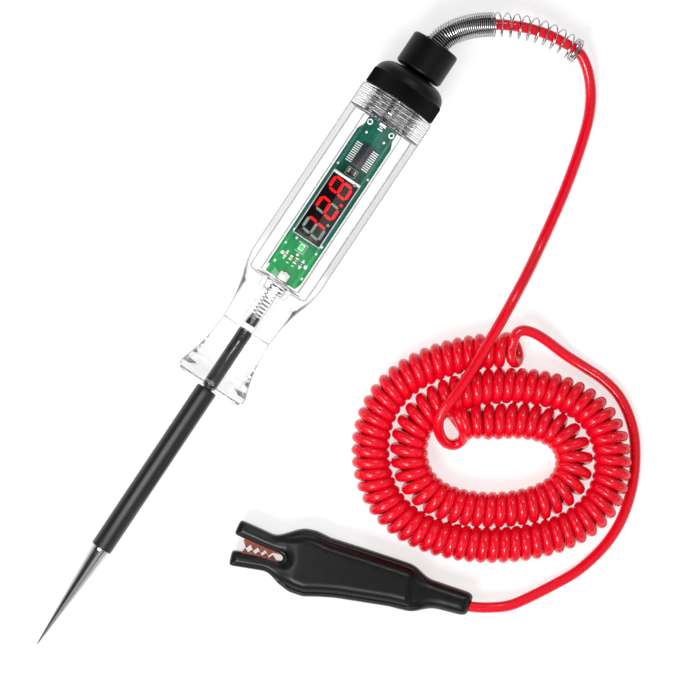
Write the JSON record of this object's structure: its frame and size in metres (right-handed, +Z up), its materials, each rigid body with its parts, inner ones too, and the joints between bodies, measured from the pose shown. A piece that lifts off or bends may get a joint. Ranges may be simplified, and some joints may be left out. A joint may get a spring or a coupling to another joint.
{
  "type": "circuit test light",
  "caption": "Circuit test light: clear cylindrical handle with a needle probe, lit voltage display board inside, knurled end cap, curly cord and booted alligator clip.",
  "frame": {"origin": "on the resting surface, below the middle of the rigid tester, halfway from needle tip to gland end", "axes": "+X along the tester from the needle tip towards the cord gland, +Z up from the surface it lies on"},
  "size_m": [0.2698, 0.1556, 0.0272],
  "materials": {
    "clear_plastic": "polished clear",
    "plug_plastic": "translucent",
    "needle_steel": "turned",
    "rod_chrome": "plated",
    "black_plastic": "satin",
    "spring_steel": "bright",
    "tinned_metal": "tinned",
    "board_green": "lacquered",
    "display_black": "polished",
    "segment_red": "lit",
    "segment_grey": "unlit",
    "led_green": "lit",
    "chip_black": "moulded",
    "capacitor_tan": "ceramic",
    "diode_glass": "glazed",
    "gold_metal": "bright",
    "cord_red": "glossy",
    "jaw_copper": "plated",
    "boot_rubber": "satin"
  },
  "bodies": {
    "handle": {"nose_piece": "clear_plastic", "handle_shell": "clear_plastic", "probe_needle": "needle_steel", "probe_rod": "rod_chrome", "probe_sleeve": "black_plastic", "contact_spring": "spring_steel", "contact_tab": "tinned_metal", "circuit_board": "board_green", "display_module": "display_black", "lit_segments": "segment_red", "dark_segments": "segment_grey", "indicator_led": "led_green", "driver_chip": "chip_black", "chip_pins": "tinned_metal", "chip_resistors": "chip_black", "chip_capacitors": "capacitor_tan", "diode": "diode_glass", "solder_pads": "tinned_metal", "ground_pad": "gold_metal"},
    "end_cap": {"end_cap": "black_plastic", "threaded_plug": "plug_plastic", "gland_nut": "black_plastic"},
    "lead": {"cord_bush": "gold_metal", "retaining_ring": "spring_steel", "rear_contact_spring": "spring_steel", "spring_guard": "spring_steel", "cord_lead": "cord_red", "curly_cord": "cord_red", "cord_tail": "cord_red", "clip_lower_jaw": "jaw_copper", "clip_pivot": "jaw_copper", "clip_spring": "spring_steel", "clip_crimp": "gold_metal", "clip_boot": "boot_rubber"},
    "clip_jaw": {"clip_upper_jaw": "jaw_copper"}
  },
  "joints": [
    {"name": "lead_slide", "type": "slide", "parent": "handle", "child": "lead", "axis": [1, 0, 0], "range_m": [0, 0.0091]},
    {"name": "cap_turn", "type": "hinge", "parent": "lead", "child": "end_cap", "pos_m": [0.1, 0, 0.0136], "axis": [1, 0, 0], "range_deg": [0, 2160]},
    {"name": "clip_open", "type": "hinge", "parent": "lead", "child": "clip_jaw", "pos_m": [-0.0483, -0.0596, 0.006], "axis": [0, 0, -1], "range_deg": [0, 16], "stiffness_Nm_per_rad": 0.3, "springref_deg": -34.38, "deforming": ["clip_boot", "clip_spring"]}
  ],
  "couplings": [
    {"joint": "lead_slide", "follows": "cap_turn", "m_per_rad": 0.00023873}
  ]
}
